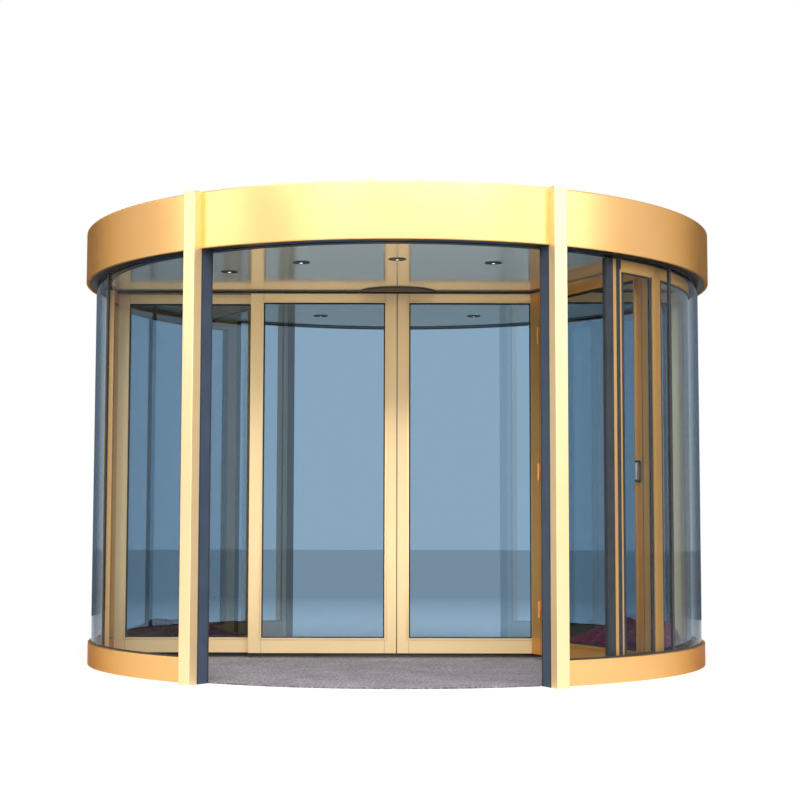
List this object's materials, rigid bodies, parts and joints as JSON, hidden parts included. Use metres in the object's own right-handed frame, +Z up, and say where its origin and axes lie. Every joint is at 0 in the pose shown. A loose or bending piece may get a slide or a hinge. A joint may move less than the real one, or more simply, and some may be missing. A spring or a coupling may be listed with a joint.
{
  "type": "two-wing automatic revolving door with sliding middle door",
  "caption": "Round glazed entrance drum with a turning two-wing core, corner showcases and a bi-parting sliding door across the middle.",
  "frame": {"origin": "on the floor on the turning axis, at the centre of the drum", "axes": "+Z up along the turning axis, -Y out of the front doorway, +X to the right seen from the front"},
  "size_m": [3.7096, 3.71, 2.5],
  "materials": {
    "gold_metal": "satin champagne gold anodised",
    "clear_glass": "clear, faint blue tint",
    "navy_rubber": "smooth dark navy",
    "black_rubber": "matt black",
    "black_metal": "satin black",
    "ceiling_sheet": "polished composite sheet",
    "lamp": "bright bezel with frosted lens",
    "roof_sheet": "plain grey sheet",
    "steel": "machined",
    "mat_pile": "speckled loop pile",
    "board": "dark board",
    "plum_cloth": "plum satin cloth",
    "bright_metal": "bright"
  },
  "bodies": {
    "drum": {"base_ring_left": "gold_metal", "base_ring_right": "gold_metal", "post_front_right": "gold_metal", "post_front_left": "gold_metal", "post_rear_right": "gold_metal", "post_rear_left": "gold_metal", "safety_edges": "navy_rubber", "drum_glass_left": "clear_glass", "drum_glass_right": "clear_glass", "glass_joints": "black_rubber", "fascia_front": "gold_metal", "fascia_right": "gold_metal", "fascia_rear": "gold_metal", "fascia_left": "gold_metal", "canopy_soffit": "black_metal", "canopy_roof": "roof_sheet", "track_ring": "steel", "entry_mat": "mat_pile"},
    "rotor": {"ceiling_panel": "ceiling_sheet", "ceiling_rim": "black_metal", "hub_cap": "black_metal", "downlights": "lamp", "head_track": "black_metal", "wing_head_seals": "black_rubber", "side_panel_left": "gold_metal", "side_panel_right": "gold_metal", "side_panel_glass": "clear_glass", "jamb_posts": "gold_metal", "wing_rails_left": "gold_metal", "wing_rails_right": "gold_metal", "wing_stiles_left": "gold_metal", "wing_stiles_right": "gold_metal", "wing_glass_left": "clear_glass", "wing_glass_right": "clear_glass", "wing_seals": "navy_rubber", "floor_brushes": "black_rubber", "display_boards": "board", "display_cloth_left": "plum_cloth", "display_cloth_right": "plum_cloth"},
    "right_leaf": {"leaf_frame_right": "gold_metal", "leaf_glass_right": "clear_glass", "leaf_sweep_right": "black_rubber"},
    "left_leaf": {"leaf_frame_left": "gold_metal", "leaf_glass_left": "clear_glass", "leaf_sweep_left": "black_rubber"},
    "right_showcase_door": {"showcase_door_right": "gold_metal", "showcase_door_glass_right": "clear_glass", "showcase_handle_right": "bright_metal"},
    "left_showcase_door": {"showcase_door_left": "gold_metal", "showcase_door_glass_left": "clear_glass", "showcase_handle_left": "bright_metal"}
  },
  "joints": [
    {"name": "rotor_turn", "type": "hinge", "parent": "drum", "child": "rotor", "pos_m": [0, 0, 0], "axis": [0, 0, 1], "continuous": true},
    {"name": "right_leaf_slide", "type": "slide", "parent": "rotor", "child": "right_leaf", "axis": [0.9973, 0.0732, 0], "range_m": [0, 0.8]},
    {"name": "left_leaf_slide", "type": "slide", "parent": "rotor", "child": "left_leaf", "axis": [-0.9973, -0.0732, 0], "range_m": [0, 0.8]},
    {"name": "right_showcase_door_swing", "type": "hinge", "parent": "rotor", "child": "right_showcase_door", "pos_m": [0.84968, -0.06044, 1.165], "axis": [0, 0, -1], "range_deg": [0, 90]},
    {"name": "left_showcase_door_swing", "type": "hinge", "parent": "rotor", "child": "left_showcase_door", "pos_m": [-0.84968, 0.06044, 1.165], "axis": [0, 0, -1], "range_deg": [0, 90]}
  ],
  "couplings": [
    {"joint": "left_leaf_slide", "follows": "right_leaf_slide", "ratio": 1}
  ]
}
